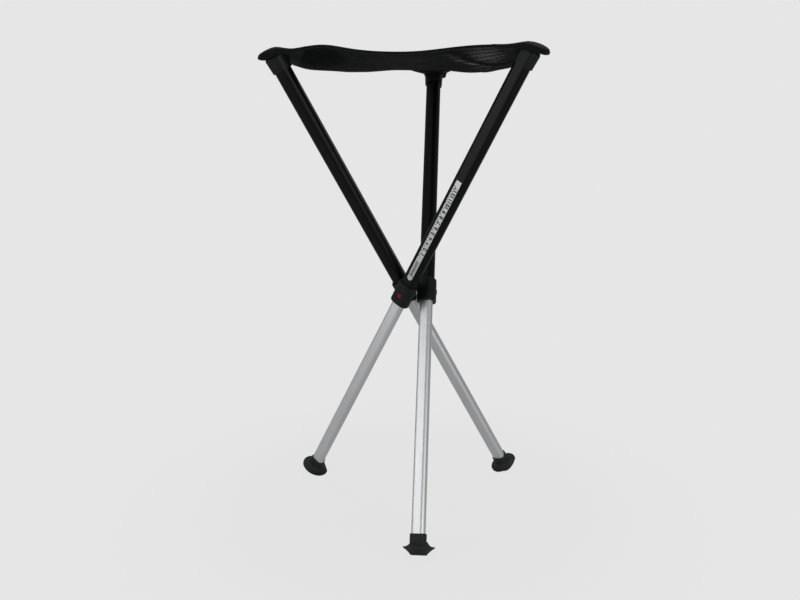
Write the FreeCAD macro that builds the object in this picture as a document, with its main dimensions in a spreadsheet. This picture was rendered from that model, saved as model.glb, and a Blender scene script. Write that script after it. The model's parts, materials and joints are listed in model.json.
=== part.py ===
import FreeCAD, Part

import math
import os

import Sketcher
from FreeCAD import Placement, Rotation, Vector

# A three-legged stool. Three telescopic legs cross at a small hub under the seat, like the
# poles of a wigwam: each leg is hinged on one face of the hub and stands beside its axis.
# The origin is on the floor under the hub's axis, +Z is up, and the back leg's top is at +Y.
# Along a leg, sizes are measured from its pivot: upwards to the seat, downwards to the foot.

SIZES = [
    # The stance
    ("pivot_height", 367.0, "floor to the pivots, stool open and legs drawn out"),
    ("leg_tilt", 30.2, "degrees each leg leans from upright when open"),
    ("leg_offset", 24.5, "hub axis to the middle line of each leg"),
    ("section_reach", 6.0, "middle of a leg section to its corner centres"),
    # The upper tube and its end cap
    ("upper_reach", 431.0, "pivot to the upper tube's top end"),
    ("upper_radius", 8.4, "corner radius of the upper tube"),
    ("upper_wall", 1.0, "wall of the upper tube"),
    ("cap_skirt", 22.0, "length of the end cap's skirt down the tube"),
    ("cap_plug", 15.0, "length of the end cap's plug in the tube"),
    ("cap_end", 2.5, "thickness of the end cap over the tube's end"),
    ("cap_wall", 2.2, "end cap's wall at the bottom of its skirt"),
    ("cap_flare", 1.5, "how much wider the end cap is at its top"),
    ("cap_round", 3.5, "rounding of the end cap's top edge"),
    # The collar at the pivot
    ("collar_radius", 12.0, "corner radius of the collar"),
    ("collar_above", 21.0, "collar above the pivot"),
    ("collar_below", 17.2, "collar below the pivot"),
    ("collar_round", 2.0, "rounding of the collar's ends"),
    ("collar_inner_face", 17.0, "leg's middle line to the collar's flat at the hub"),
    ("socket_floor", 7.0, "height of the step that carries the upper tube"),
    # The hub, its pivot pins and washers
    ("hub_height", 24.0, "height of the hub core"),
    ("hub_corner", 2.5, "corner radius of the hub core"),
    ("washer_thickness", 1.0, "pivot washer's thickness"),
    ("washer_diameter", 14.0, "pivot washer's diameter"),
    ("pin_head_diameter", 11.0, "pivot pin's head"),
    ("pin_head_thickness", 1.9, "pivot pin's head"),
    ("pin_head_room", 0.4, "pivot pin's head to the lower tube's bore"),
    ("pin_shoulder_diameter", 8.0, "pivot pin's bearing shoulder"),
    ("pin_thread_diameter", 5.0, "pivot pin's threaded end"),
    ("pin_thread_length", 4.0, "pivot pin's threaded end"),
    ("pin_socket_width", 3.0, "hexagon socket in the pin's head, across its flats"),
    ("pin_socket_depth", 2.4, "hexagon socket in the pin's head"),
    # The lock button in the collar's outer face
    ("button_diameter", 7.6, "button's face"),
    ("button_flange_diameter", 10.4, "flange that keeps the button in"),
    ("button_flange_thickness", 1.2, "flange that keeps the button in"),
    ("button_skin", 1.8, "collar's wall in front of the flange"),
    ("button_proud", 1.2, "button's face in front of the collar"),
    ("button_dome", 0.5, "rounding of the button's face"),
    # The lower tube, its guide bush and the sprung lock inside it
    ("lower_radius", 6.4, "corner radius of the lower tube"),
    ("lower_wall", 1.2, "wall of the lower tube"),
    ("bush_length", 37.7, "guide bush on the lower tube"),
    ("bush_end", 1.8, "end wall of the guide bush"),
    ("lock_pin_diameter", 6.0, "lock pin's stem"),
    ("lock_flange_diameter", 8.4, "lock pin's flange inside the tube"),
    ("lock_flange_thickness", 1.1, "lock pin's flange"),
    ("lock_stem", 3.4, "lock pin's stem in front of its flange"),
    ("spring_width", 6.6, "leaf spring's strip"),
    ("spring_thickness", 0.6, "leaf spring's strip"),
    ("spring_bend", 6.2, "inner radius of the leaf spring's bend"),
    ("spring_arm", 26.0, "straight arms of the leaf spring"),
    ("spring_above", 8.0, "leaf spring's end above the lock pin"),
    # The foot, measured along the leg from the end of its tread
    ("foot_length", 31.4, "end of the tread to the top of the neck"),
    ("foot_cover", 9.0, "end of the tread to the tube's end"),
    ("floor_flat", 2.5, "how much of the tread's lower edge is cut level with the floor"),
    ("neck_radius", 8.4, "corner radius of the foot's neck"),
    ("neck_round", 1.2, "rounding at the top of the neck"),
    ("flare_height", 19.5, "end of the tread to where the neck flares out"),
    ("brim_radius", 24.5, "foot's brim"),
    ("brim_height", 12.5, "end of the tread to the top of the brim's edge"),
    ("brim_edge", 1.8, "thickness of the brim's edge"),
    ("flare_inset", 1.0, "how far inside the neck's corners the flare begins"),
    ("flare_hollow", 0.3, "hollow of the flare: 0.5 is straight"),
    ("tread_hollow", 0.4, "hollow under the brim: 0.5 is straight"),
    ("tread_radius", 12.0, "end of the tread"),
    # The seat
    ("hem_margin", 16.0, "leg's middle line at the seat to the straight hem line"),
    ("hem_width", 9.0, "width of the bound edge"),
    ("hem_thickness", 3.6, "thickness of the bound edge"),
    ("front_hem_sag", 8.0, "sag of the front edge between its corners"),
    ("rear_hem_sag", 18.0, "sag of the two rear edges between their corners"),
    ("panel_thickness", 2.4, "thickness of the seat panel"),
    ("panel_sag", 15.0, "sag of the seat's middle below its corners"),
    ("corner_inside", 36.0, "corner piece's reach inwards from the leg"),
    ("corner_outside", 30.0, "corner piece's reach outwards from the leg"),
    ("corner_droop", 10.0, "drop of the corner piece's tip"),
    ("corner_cover", 3.4, "fabric on top of the end cap"),
    ("corner_width", 43.0, "corner piece over the end cap"),
    ("corner_tip_width", 26.0, "corner piece's blunt tip"),
    ("corner_thickness", 11.0, "corner piece over the end cap"),
    ("corner_fullness", 0.62, "corner piece halfway to the panel: 0.5 is straight"),
    ("corner_side_drop", 4.5, "how much lower the corner piece's sides lie than its middle"),
    # The scale strip on one leg
    ("strip_width", 10.0, "scale strip on the leg's flat"),
    ("strip_thickness", 0.3, "scale strip on the leg's flat"),
    ("strip_start", 32.0, "pivot to the strip's lower end"),
    ("strip_length", 186.0, "scale strip on the leg's flat"),
    # Clearances
    ("slide_gap", 0.3, "between the parts that slide in each other, each side"),
    ("fit_gap", 0.1, "between parts that are fitted together, each side"),
    ("pivot_gap", 0.06, "between the pivot pin and its bore, each side"),
    ("face_gap", 0.3, "between faces that turn or stand against each other"),
    ("overrun", 1.0, "how far a cut starts before or ends behind what it cuts"),
]

# Each leg is named for the seat corner that it carries, with its turn about the hub's axis.
THIRD = 120.0
LEGS = {"back": 0.0, "right": -THIRD, "left": THIRD}
SECTION_CORNERS = (THIRD / 2, 3 * THIRD / 2, 5 * THIRD / 2)

doc = FreeCAD.newDocument("tripod_stool")
sheet = doc.addObject("Spreadsheet::Sheet", "Sizes")
for row, (alias, number, note) in enumerate(SIZES, start=1):
    sheet.set(f"A{row}", alias.replace("_", " "))
    sheet.set(f"B{row}", str(number))
    sheet.setAlias(f"B{row}", alias)
    sheet.set(f"C{row}", note)
doc.recompute()

# Heights along a leg and depths across it, each worked out from the sheet.
TUBE_BORE = "(Sizes.upper_radius - Sizes.upper_wall)"
LOWER_BORE = "(Sizes.lower_radius - Sizes.lower_wall)"
COLLAR_FLAT = "(Sizes.collar_radius + Sizes.section_reach / 2)"
LOWER_FLAT = "(Sizes.lower_radius + Sizes.section_reach / 2)"
HUB_FLAT = "(Sizes.leg_offset - Sizes.collar_inner_face - Sizes.washer_thickness - Sizes.face_gap)"
FLOOR = "(Sizes.pivot_height / cos(Sizes.leg_tilt))"
TREAD_DIP = "(Sizes.tread_radius * sin(Sizes.leg_tilt) - Sizes.floor_flat)"
TREAD_END = f"((Sizes.pivot_height - {TREAD_DIP}) / cos(Sizes.leg_tilt))"
LOWER_END = f"({TREAD_END} - Sizes.foot_cover)"
LOWER_TOP = "(Sizes.socket_floor + Sizes.slide_gap + Sizes.bush_length)"
BUTTON_STOP = f"({COLLAR_FLAT} - Sizes.button_skin)"
LOWER_CORNER = "(Sizes.section_reach + Sizes.lower_radius)"
PIN_HEAD_FRONT = f"({LOWER_CORNER} + Sizes.slide_gap + Sizes.pin_head_room)"
PIN_HEAD_BACK = f"({PIN_HEAD_FRONT} + Sizes.pin_head_thickness)"
LOCK_FACE = f"({LOWER_FLAT} - Sizes.fit_gap)"
CAP_LOW_RADIUS = "(Sizes.upper_radius + Sizes.fit_gap + Sizes.cap_wall)"
CAP_TOP_RADIUS = f"({CAP_LOW_RADIUS} + Sizes.cap_flare)"

parts = []


def value(expression):
    """A size, or a sum of sizes, as a number."""
    return float(sheet.evalExpression(expression))


def bare(alias):
    return value("Sizes." + alias)


def leg_place(turn):
    """A leg's own frame: Z up along the leg from its pivot, X away from the hub."""
    lean = Placement(
        Vector(bare("leg_offset"), 0, bare("pivot_height")),
        Rotation(Vector(1, 0, 0), -bare("leg_tilt")),
    )
    return Placement(Vector(), Rotation(Vector(0, 0, 1), turn)).multiply(lean)


def hub_place(turn):
    """The hub's own frame at one of its faces: X towards the leg that is hinged there."""
    return Placement(
        Vector(0, 0, bare("pivot_height")), Rotation(Vector(0, 0, 1), turn)
    )


def new_body(label, place):
    body = doc.addObject("PartDesign::Body", label)
    body.Label = label
    body.Placement = place
    parts.append(body)
    return body


def new_sketch(body, plane, offset="0", turn=0.0):
    """A sketch on one of the body's own planes, offset along its normal and turned on it."""
    support = next(f for f in body.Origin.OriginFeatures if f.Role == plane)
    sketch = body.newObject("Sketcher::SketchObject", body.Label + "_sketch")
    sketch.AttachmentSupport = [(support, "")]
    sketch.MapMode = "FlatFace"
    sketch.AttachmentOffset = Placement(
        Vector(0, 0, value(offset)), Rotation(Vector(0, 0, 1), turn)
    )
    sketch.setExpression("AttachmentOffset.Base.z", offset)
    return sketch


def bind(sketch, kind, geometry, expression):
    """A constraint of this kind whose value is worked out from the sheet."""
    index = sketch.addConstraint(
        Sketcher.Constraint(kind, *geometry, value(expression))
    )
    sketch.setExpression(f"Constraints[{index}]", expression)


def place_point(sketch, geometry, point, across, along):
    bind(sketch, "DistanceX", (-1, 1, geometry, point), across)
    bind(sketch, "DistanceY", (-1, 1, geometry, point), along)


def rounded_triangle(sketch, radius, reach="Sizes.section_reach"):
    """The leg's section: three corners joined by three flats, one flat facing +X."""
    first = sketch.GeometryCount
    size = value(radius)

    def ahead(angle, length):
        return Vector(
            length * math.cos(math.radians(angle)),
            length * math.sin(math.radians(angle)),
            0,
        )

    for angle in SECTION_CORNERS:
        circle = Part.Circle(ahead(angle, value(reach)), Vector(0, 0, 1), size)
        start, end = math.radians(angle - THIRD / 2), math.radians(angle + THIRD / 2)
        sketch.addGeometry(Part.ArcOfCircle(circle, start, end))
    for angle in SECTION_CORNERS:
        rise = ahead(angle + THIRD / 2, size)
        start = ahead(angle, value(reach)) + rise
        end = ahead(angle + THIRD, value(reach)) + rise
        sketch.addGeometry(Part.LineSegment(start, end))
    for corner in range(3):
        arc, flat = first + corner, first + 3 + corner
        following = first + (corner + 1) % 3
        sketch.addConstraint(Sketcher.Constraint("Tangent", arc, 2, flat, 1))
        sketch.addConstraint(Sketcher.Constraint("Tangent", flat, 2, following, 1))
    bind(sketch, "Radius", (first,), radius)
    sketch.addConstraint(Sketcher.Constraint("Equal", first, first + 1))
    sketch.addConstraint(Sketcher.Constraint("Equal", first, first + 2))
    place_point(sketch, first, 3, f"{reach} / 2", f"{reach} * sqrt(3) / 2")
    place_point(sketch, first + 2, 3, f"{reach} / 2", f"-{reach} * sqrt(3) / 2")
    place_point(sketch, first + 1, 3, f"-{reach}", "0")


def circle(sketch, diameter, along="0"):
    """A circle on the sketch's upright axis."""
    centre = Vector(0, value(along), 0)
    index = sketch.addGeometry(
        Part.Circle(centre, Vector(0, 0, 1), value(diameter) / 2)
    )
    bind(sketch, "Diameter", (index,), diameter)
    place_point(sketch, index, 3, "0", along)


def outline(sketch, corners, bulges=None):
    """A closed outline through corners, whose coordinates are expressions. A bulge turns the side
    after its corner into an arc through one more point."""
    bulges = bulges or {}
    first = sketch.GeometryCount
    points = [Vector(value(across), value(along), 0) for across, along in corners]
    ends = {}
    for side, start in enumerate(points):
        end = points[(side + 1) % len(points)]
        if side not in bulges:
            sketch.addGeometry(Part.LineSegment(start, end))
            ends[side] = (1, 2)
            continue
        middle = Vector(*(value(size) for size in bulges[side]), 0)
        sketch.addGeometry(Part.Arc(start, middle, end))
        turns_left = (middle - start).cross(end - middle).z > 0
        ends[side] = (1, 2) if turns_left else (2, 1)
    for side, (across, along) in enumerate(corners):
        before = (side - 1) % len(corners)
        joint = (first + before, ends[before][1], first + side, ends[side][0])
        sketch.addConstraint(Sketcher.Constraint("Coincident", *joint))
        place_point(sketch, first + side, ends[side][0], across, along)
    for side, (across, along) in bulges.items():
        middle = Vector(value(across), value(along), 0)
        point = sketch.addGeometry(Part.Point(middle), True)
        sketch.addConstraint(Sketcher.Constraint("PointOnObject", point, 1, first + side))
        place_point(sketch, point, 1, across, along)


def feature(body, kind, sketch, **sizes):
    """A pad, pocket or other feature of a sketch, with its sizes bound to the sheet."""
    made = body.newObject("PartDesign::" + kind, f"{body.Label}_{kind.lower()}")
    made.Profile = sketch
    for name, size in sizes.items():
        if isinstance(size, str):
            made.setExpression(name, size)
        else:
            setattr(made, name, size)
    sketch.Visibility = False
    return made


def cut(body, sketch, **sizes):
    """A pocket that has to take material away."""
    doc.recompute()
    before = body.Shape.Volume
    made = feature(body, "Pocket", sketch, **sizes)
    doc.recompute()
    if not body.Shape.Volume < before - 1e-3:
        raise RuntimeError(f"a pocket of {body.Label} cuts nothing")
    return made


def revolve(body, sketch, axis):
    """The sketch turned about one of its own axes, V_Axis or H_Axis."""
    made = body.newObject("PartDesign::Revolution", body.Label + "_turned")
    made.Profile = sketch
    made.ReferenceAxis = (sketch, [axis])
    made.Angle = 360
    sketch.Visibility = False
    return made


def round_edges(body, radius, wanted):
    """Rounds the edges of the body that the test picks, in the body's own frame."""
    doc.recompute()
    base = body.Tip
    names = [
        f"Edge{number}"
        for number, edge in enumerate(base.Shape.Edges, start=1)
        if wanted(edge)
    ]
    made = body.newObject("PartDesign::Fillet", body.Label + "_rounding")
    made.Base = (base, names)
    made.setExpression("Radius", radius)
    return made


def level_at(*heights):
    """A test for the level edges at these heights."""

    def wanted(edge):
        box = edge.BoundBox
        return any(max(abs(box.ZMin - height), abs(box.ZMax - height)) < 0.01 for height in heights)

    return wanted


def make_upper_tube(leg, place):
    body = new_body(f"upper_tube_{leg}", place)
    section = new_sketch(body, "XY_Plane", "Sizes.socket_floor")
    rounded_triangle(section, "Sizes.upper_radius")
    rounded_triangle(section, TUBE_BORE)
    feature(body, "Pad", section, Length="Sizes.upper_reach - Sizes.socket_floor")


def make_top_cap(leg, place):
    """The moulded end cap: a flared skirt outside the tube and a plug inside it."""
    body = new_body(f"top_cap_{leg}", place)
    low = new_sketch(body, "XY_Plane", "Sizes.upper_reach - Sizes.cap_skirt")
    rounded_triangle(low, CAP_LOW_RADIUS)
    high = new_sketch(body, "XY_Plane", "Sizes.upper_reach + Sizes.cap_end")
    rounded_triangle(high, CAP_TOP_RADIUS)
    loft = feature(body, "AdditiveLoft", low)
    loft.Sections = [high]
    loft.Ruled = True
    ring = new_sketch(body, "XY_Plane", "Sizes.upper_reach + Sizes.fit_gap")
    rounded_triangle(ring, "Sizes.upper_radius + Sizes.fit_gap")
    rounded_triangle(ring, TUBE_BORE + " - Sizes.fit_gap")
    cut(body, ring, Length="Sizes.cap_skirt + Sizes.overrun")
    plug = new_sketch(body, "XY_Plane", "Sizes.upper_reach - Sizes.cap_plug")
    rounded_triangle(plug, TUBE_BORE)
    cut(body, plug, Length="Sizes.cap_skirt")
    top = value("Sizes.upper_reach + Sizes.cap_end")
    round_edges(body, "Sizes.cap_round", level_at(top))


def make_collar(leg, place):
    """The moulded collar: the upper tube sits on a step in it and the lower tube runs through."""
    body = new_body(f"collar_{leg}", place)
    block = new_sketch(body, "XY_Plane", "-Sizes.collar_below")
    rounded_triangle(block, "Sizes.collar_radius")
    feature(body, "Pad", block, Length="Sizes.collar_below + Sizes.collar_above")
    flat = new_sketch(body, "YZ_Plane", "-Sizes.collar_inner_face")
    span = "(Sizes.collar_below + Sizes.collar_above)"
    outline(
        flat,
        [
            ("-Sizes.collar_radius", f"-{span}"),
            ("Sizes.collar_radius", f"-{span}"),
            ("Sizes.collar_radius", span),
            ("-Sizes.collar_radius", span),
        ],
    )
    cut(body, flat, Length="Sizes.collar_radius")
    ends = level_at(bare("collar_above"), -bare("collar_below"))
    round_edges(body, "Sizes.collar_round", ends)
    bore = new_sketch(body, "XY_Plane", "-Sizes.collar_below - Sizes.overrun")
    rounded_triangle(bore, "Sizes.lower_radius + Sizes.slide_gap")
    cut(body, bore, Length=f"{span} + 2 * Sizes.overrun", Reversed=True)
    socket = new_sketch(body, "XY_Plane", "Sizes.socket_floor")
    rounded_triangle(socket, "Sizes.upper_radius + Sizes.fit_gap")
    cut(body, socket, Length="Sizes.collar_above", Reversed=True)
    for diameter, depth, outwards in (
        ("Sizes.button_flange_diameter + 2 * Sizes.slide_gap", BUTTON_STOP, True),
        ("Sizes.button_diameter + 2 * Sizes.slide_gap", COLLAR_FLAT + " + Sizes.overrun", True),
        ("Sizes.pin_head_diameter + 2 * Sizes.slide_gap", PIN_HEAD_BACK + " + Sizes.fit_gap", False),
        (
            "Sizes.pin_shoulder_diameter + 2 * Sizes.pivot_gap",
            "Sizes.collar_inner_face + Sizes.overrun",
            False,
        ),
    ):
        hole = new_sketch(body, "YZ_Plane")
        circle(hole, diameter)
        cut(body, hole, Length=depth, Reversed=outwards)


def make_lock_button(leg, place):
    """The push button: its flange is caught between the collar's wall and the lower tube."""
    body = new_body(f"lock_button_{leg}", place)
    profile = new_sketch(body, "XZ_Plane")
    front = f"({BUTTON_STOP} - Sizes.fit_gap)"
    back = f"({front} - Sizes.button_flange_thickness)"
    face = f"({COLLAR_FLAT} + Sizes.button_proud)"
    outline(
        profile,
        [
            (back, "0"),
            (back, "Sizes.button_flange_diameter / 2"),
            (front, "Sizes.button_flange_diameter / 2"),
            (front, "Sizes.button_diameter / 2"),
            (f"{face} - Sizes.button_dome", "Sizes.button_diameter / 2"),
            (face, "Sizes.button_diameter / 2 - Sizes.button_dome"),
            (face, "0"),
        ],
    )
    revolve(body, profile, "H_Axis")


def make_lower_tube(leg, place):
    body = new_body(f"lower_tube_{leg}", place)
    section = new_sketch(body, "XY_Plane", f"-{LOWER_END}")
    rounded_triangle(section, "Sizes.lower_radius")
    rounded_triangle(section, LOWER_BORE)
    feature(body, "Pad", section, Length=f"{LOWER_END} + {LOWER_TOP}")
    hole = new_sketch(body, "YZ_Plane")
    circle(hole, "Sizes.lock_pin_diameter + 2 * Sizes.fit_gap")
    cut(body, hole, Length=LOWER_FLAT + " + Sizes.overrun", Reversed=True)


def make_guide_bush(leg, place):
    """The sleeve on the lower tube's top end. Drawn out, the tube hangs on the collar's step by it."""
    body = new_body(f"guide_bush_{leg}", place)
    low = "Sizes.socket_floor + Sizes.slide_gap"
    sleeve = new_sketch(body, "XY_Plane", low)
    rounded_triangle(sleeve, TUBE_BORE + " - Sizes.slide_gap")
    feature(body, "Pad", sleeve, Length="Sizes.bush_length + Sizes.fit_gap + Sizes.bush_end")
    bore = new_sketch(body, "XY_Plane", low)
    rounded_triangle(bore, "Sizes.lower_radius + Sizes.fit_gap")
    cut(body, bore, Length="Sizes.bush_length + Sizes.fit_gap", Reversed=True)


def make_lock_pin(leg, place):
    """The sprung pin that steps into the collar, drawn pressed in, level with the tube's flat."""
    body = new_body(f"lock_pin_{leg}", place)
    profile = new_sketch(body, "XZ_Plane")
    shoulder = f"({LOCK_FACE} - Sizes.lock_stem)"
    outline(
        profile,
        [
            (f"{shoulder} - Sizes.lock_flange_thickness", "0"),
            (f"{shoulder} - Sizes.lock_flange_thickness", "Sizes.lock_flange_diameter / 2"),
            (shoulder, "Sizes.lock_flange_diameter / 2"),
            (shoulder, "Sizes.lock_pin_diameter / 2"),
            (LOCK_FACE, "Sizes.lock_pin_diameter / 2"),
            (LOCK_FACE, "0"),
        ],
    )
    revolve(body, profile, "H_Axis")


def make_lock_spring(leg, place):
    """The hairpin leaf spring that pushes the lock pin out, braced on the tube's inner corner."""
    body = new_body(f"lock_spring_{leg}", place)
    profile = new_sketch(body, "XZ_Plane")
    front = f"({LOCK_FACE} - Sizes.lock_stem - Sizes.lock_flange_thickness - Sizes.fit_gap)"
    inner = f"({front} - Sizes.spring_thickness)"
    inner_back = f"({inner} - 2 * Sizes.spring_bend)"
    back = f"({inner_back} - Sizes.spring_thickness)"
    low = "(Sizes.spring_above - Sizes.spring_arm)"
    middle = f"({inner} - Sizes.spring_bend)"
    outer_low = f"({low} - Sizes.spring_bend - Sizes.spring_thickness)"
    outline(
        profile,
        [
            (front, "Sizes.spring_above"),
            (front, low),
            (back, low),
            (back, "Sizes.spring_above"),
            (inner_back, "Sizes.spring_above"),
            (inner_back, low),
            (inner, low),
            (inner, "Sizes.spring_above"),
        ],
        {
            1: (middle, outer_low),
            5: (middle, f"{low} - Sizes.spring_bend"),
        },
    )
    feature(body, "Pad", profile, Length="Sizes.spring_width", Midplane=True)


def make_foot(leg, place):
    """The rubber foot: a neck on the tube, a wide brim and a tread that stands on its lower edge."""
    body = new_body(f"foot_{leg}", place)
    profile = new_sketch(body, "XZ_Plane")
    edge = f"(Sizes.brim_height - {TREAD_END})"
    under = f"({edge} - Sizes.brim_edge)"
    rise = f"(Sizes.flare_height - {TREAD_END})"
    neck = "(Sizes.section_reach + Sizes.neck_radius - Sizes.flare_inset)"
    outline(
        profile,
        [
            ("0", rise),
            (neck, rise),
            ("Sizes.brim_radius", edge),
            ("Sizes.brim_radius", under),
            ("Sizes.tread_radius", f"-{TREAD_END}"),
            ("0", f"-{TREAD_END}"),
        ],
        {
            1: (
                f"{neck} + (Sizes.brim_radius - {neck}) * Sizes.flare_hollow",
                f"{edge} + ({rise} - {edge}) * Sizes.flare_hollow",
            ),
            3: (
                "Sizes.tread_radius + (Sizes.brim_radius - Sizes.tread_radius) * Sizes.tread_hollow",
                f"({under} - {TREAD_END}) / 2",
            ),
        },
    )
    revolve(body, profile, "V_Axis")
    stem = new_sketch(body, "XY_Plane", f"-{LOWER_END}")
    rounded_triangle(stem, "Sizes.neck_radius")
    feature(body, "Pad", stem, Length="Sizes.foot_length - Sizes.foot_cover")
    top = value(f"Sizes.foot_length - {TREAD_END}")
    round_edges(body, "Sizes.neck_round", level_at(top))
    socket = new_sketch(body, "XY_Plane", f"-{LOWER_END} - Sizes.fit_gap")
    rounded_triangle(socket, "Sizes.lower_radius + Sizes.fit_gap")
    cut(body, socket, Length="Sizes.foot_length", Reversed=True)
    # The three feet stand side by side when folded, so each brim has two flats on the hub's side.
    beside = "(Sizes.leg_offset * sqrt(3) / 2 - Sizes.slide_gap)"
    for angle in (150, -150):
        flat = new_sketch(body, "XY_Plane", rise, angle)
        outline(
            flat,
            [
                (beside, "-Sizes.brim_radius"),
                (f"{beside} + Sizes.brim_radius", "-Sizes.brim_radius"),
                (f"{beside} + Sizes.brim_radius", "Sizes.brim_radius"),
                (beside, "Sizes.brim_radius"),
            ],
        )
        cut(body, flat, Length="Sizes.brim_radius")
    # The floor's plane, seen from the side of the leaning leg
    floor = new_sketch(body, "YZ_Plane")
    reach = "(2 * Sizes.brim_radius)"
    slope = f"({reach} * tan(Sizes.leg_tilt))"
    below = f"-{FLOOR} - {slope} - {reach}"
    outline(
        floor,
        [
            (f"-{reach}", f"-{FLOOR} - {slope}"),
            (f"-{reach}", below),
            (reach, below),
            (reach, f"-{FLOOR} + {slope}"),
        ],
    )
    cut(body, floor, Length=f"2 * {reach}", Midplane=True)


def make_pivot_pin(leg, turn):
    """The shoulder screw that the collar turns on, seen along the hub's face."""
    body = new_body(f"pivot_pin_{leg}", hub_place(turn))
    profile = new_sketch(body, "XZ_Plane")
    head_back = f"(Sizes.leg_offset - {PIN_HEAD_BACK})"
    head_front = f"({head_back} + Sizes.pin_head_thickness)"
    outline(
        profile,
        [
            (f"{HUB_FLAT} - Sizes.pin_thread_length", "0"),
            (f"{HUB_FLAT} - Sizes.pin_thread_length", "Sizes.pin_thread_diameter / 2"),
            (HUB_FLAT, "Sizes.pin_thread_diameter / 2"),
            (HUB_FLAT, "Sizes.pin_shoulder_diameter / 2"),
            (head_back, "Sizes.pin_shoulder_diameter / 2"),
            (head_back, "Sizes.pin_head_diameter / 2"),
            (head_front, "Sizes.pin_head_diameter / 2"),
            (head_front, "0"),
        ],
    )
    revolve(body, profile, "H_Axis")
    socket = new_sketch(body, "YZ_Plane", head_front)
    corner = "(Sizes.pin_socket_width / sqrt(3))"
    outline(
        socket,
        [
            (f"{corner} * cos({angle})", f"{corner} * sin({angle})")
            for angle in range(0, 360, 60)
        ],
    )
    cut(body, socket, Length="Sizes.pin_socket_depth")


def make_pivot_washer(leg, turn):
    body = new_body(f"pivot_washer_{leg}", hub_place(turn))
    ring = new_sketch(body, "YZ_Plane", HUB_FLAT)
    circle(ring, "Sizes.washer_diameter")
    circle(ring, "Sizes.pin_shoulder_diameter + 2 * Sizes.fit_gap")
    feature(body, "Pad", ring, Length="Sizes.washer_thickness")


def make_hub_core():
    """The three-sided core: each face carries one leg on a pin screwed into it."""
    body = new_body("hub_core", hub_place(0))
    block = new_sketch(body, "XY_Plane", "-Sizes.hub_height / 2")
    rounded_triangle(block, "Sizes.hub_corner", f"(2 * ({HUB_FLAT} - Sizes.hub_corner))")
    feature(body, "Pad", block, Length="Sizes.hub_height")
    hole = new_sketch(body, "YZ_Plane", HUB_FLAT)
    circle(hole, "Sizes.pin_thread_diameter")
    thread = cut(body, hole, Length="Sizes.pin_thread_length + Sizes.fit_gap")
    pattern = body.newObject("PartDesign::PolarPattern", "hub_core_pattern")
    pattern.Originals = [thread]
    axis = next(f for f in body.Origin.OriginFeatures if f.Role == "Z_Axis")
    pattern.Axis = (axis, [""])
    pattern.Angle = 360
    pattern.Occurrences = len(LEGS)
    body.Tip = pattern


def make_scale_strip(leg, place):
    """The thin metal strip on the outer flat of one upper tube, with a plain scale on it."""
    body = new_body("scale_strip", place)
    flat = "(Sizes.upper_radius + Sizes.section_reach / 2)"
    plate = new_sketch(body, "YZ_Plane", flat)
    low = "Sizes.strip_start + Sizes.strip_width / 2"
    top = "Sizes.strip_start + Sizes.strip_length"
    outline(
        plate,
        [
            ("-Sizes.strip_width / 2", low),
            ("Sizes.strip_width / 2", low),
            ("Sizes.strip_width / 2", top),
            ("-Sizes.strip_width / 2", top),
        ],
        bulges={0: ("0", "Sizes.strip_start")},
    )
    feature(body, "Pad", plate, Length="Sizes.strip_thickness")


HALF_CORNER = math.radians(THIRD / 4)


class Seat:
    """The slung seat's sizes, worked out from where the three leg tops stand."""

    def __init__(self):
        tilt = math.radians(bare("leg_tilt"))
        cap_top = value("Sizes.upper_reach + Sizes.cap_end")
        across, out = bare("leg_offset"), cap_top * math.sin(tilt)
        self.leg_radius = math.hypot(across, out)
        self.half_side = self.leg_radius * math.cos(HALF_CORNER)
        self.turn = -math.degrees(math.atan2(across, out))
        self.inradius = self.leg_radius / 2 + bare("hem_margin")
        # The cap's upper edge stands above its middle, because the leg leans.
        rounding = bare("cap_round")
        edge = value(f"{CAP_TOP_RADIUS} + Sizes.section_reach * sqrt(3) / 2") - rounding
        rise = (cap_top - rounding) * math.cos(tilt) + edge * math.sin(tilt) + rounding
        self.height = bare("pivot_height") + rise + bare("corner_cover")
        self.inner_edge = self.leg_radius - bare("corner_inside")

    def hem_height(self, along, sag):
        """Height of a hem line at a distance from the middle of its side."""
        return self.height - sag * (1 - (along / self.half_side) ** 2)

    def side_height(self, out, sag):
        """Height of a hem that runs into a corner, at a distance out towards that corner."""
        along = (out - self.inradius / 2) / math.cos(HALF_CORNER)
        return self.hem_height(along, sag)

    def middle_height(self, out):
        """Height of the panel's middle line, through the middle, a corner and the far hem."""
        rise_out, rise_back = bare("panel_sag"), bare("panel_sag") - bare("front_hem_sag")
        far_out, far_back = self.leg_radius, self.inradius
        bend = (rise_out / far_out + rise_back / far_back) / (far_out + far_back)
        slope = rise_out / far_out - bend * far_out
        return self.height - bare("panel_sag") + slope * out + bend * out**2

    def half_width(self, out):
        return (2 * self.inradius - out) * math.tan(HALF_CORNER)


def arc_band(out, half_width, middle, left_side, right_side, thickness):
    """A closed outline across the seat: a top arc and a bottom arc, joined at both ends."""
    left, right = -half_width, half_width
    rows = []
    for drop in (0.0, thickness):
        rows.append(
            [
                Vector(left, out, left_side - drop),
                Vector(0, out, middle - drop),
                Vector(right, out, right_side - drop),
            ]
        )
    top = Part.Arc(*rows[0]).toShape()
    bottom = Part.Arc(*reversed(rows[1])).toShape()
    return Part.Wire(
        [
            top,
            Part.LineSegment(rows[0][2], rows[1][2]).toShape(),
            bottom,
            Part.LineSegment(rows[1][0], rows[0][0]).toShape(),
        ]
    )


def corner_blocks(seat):
    """Blocks that fill the room beyond each corner piece's inner edge."""
    size = 2 * seat.leg_radius
    blocks = []
    for turn in LEGS.values():
        block = Part.makeBox(2 * size, size, size)
        block.Placement = Placement(Vector(), Rotation(Vector(0, 0, 1), turn)).multiply(
            Placement(
                Vector(-size, seat.inner_edge, seat.height - size / 2), Rotation()
            )
        )
        blocks.append(block)
    return blocks


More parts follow.
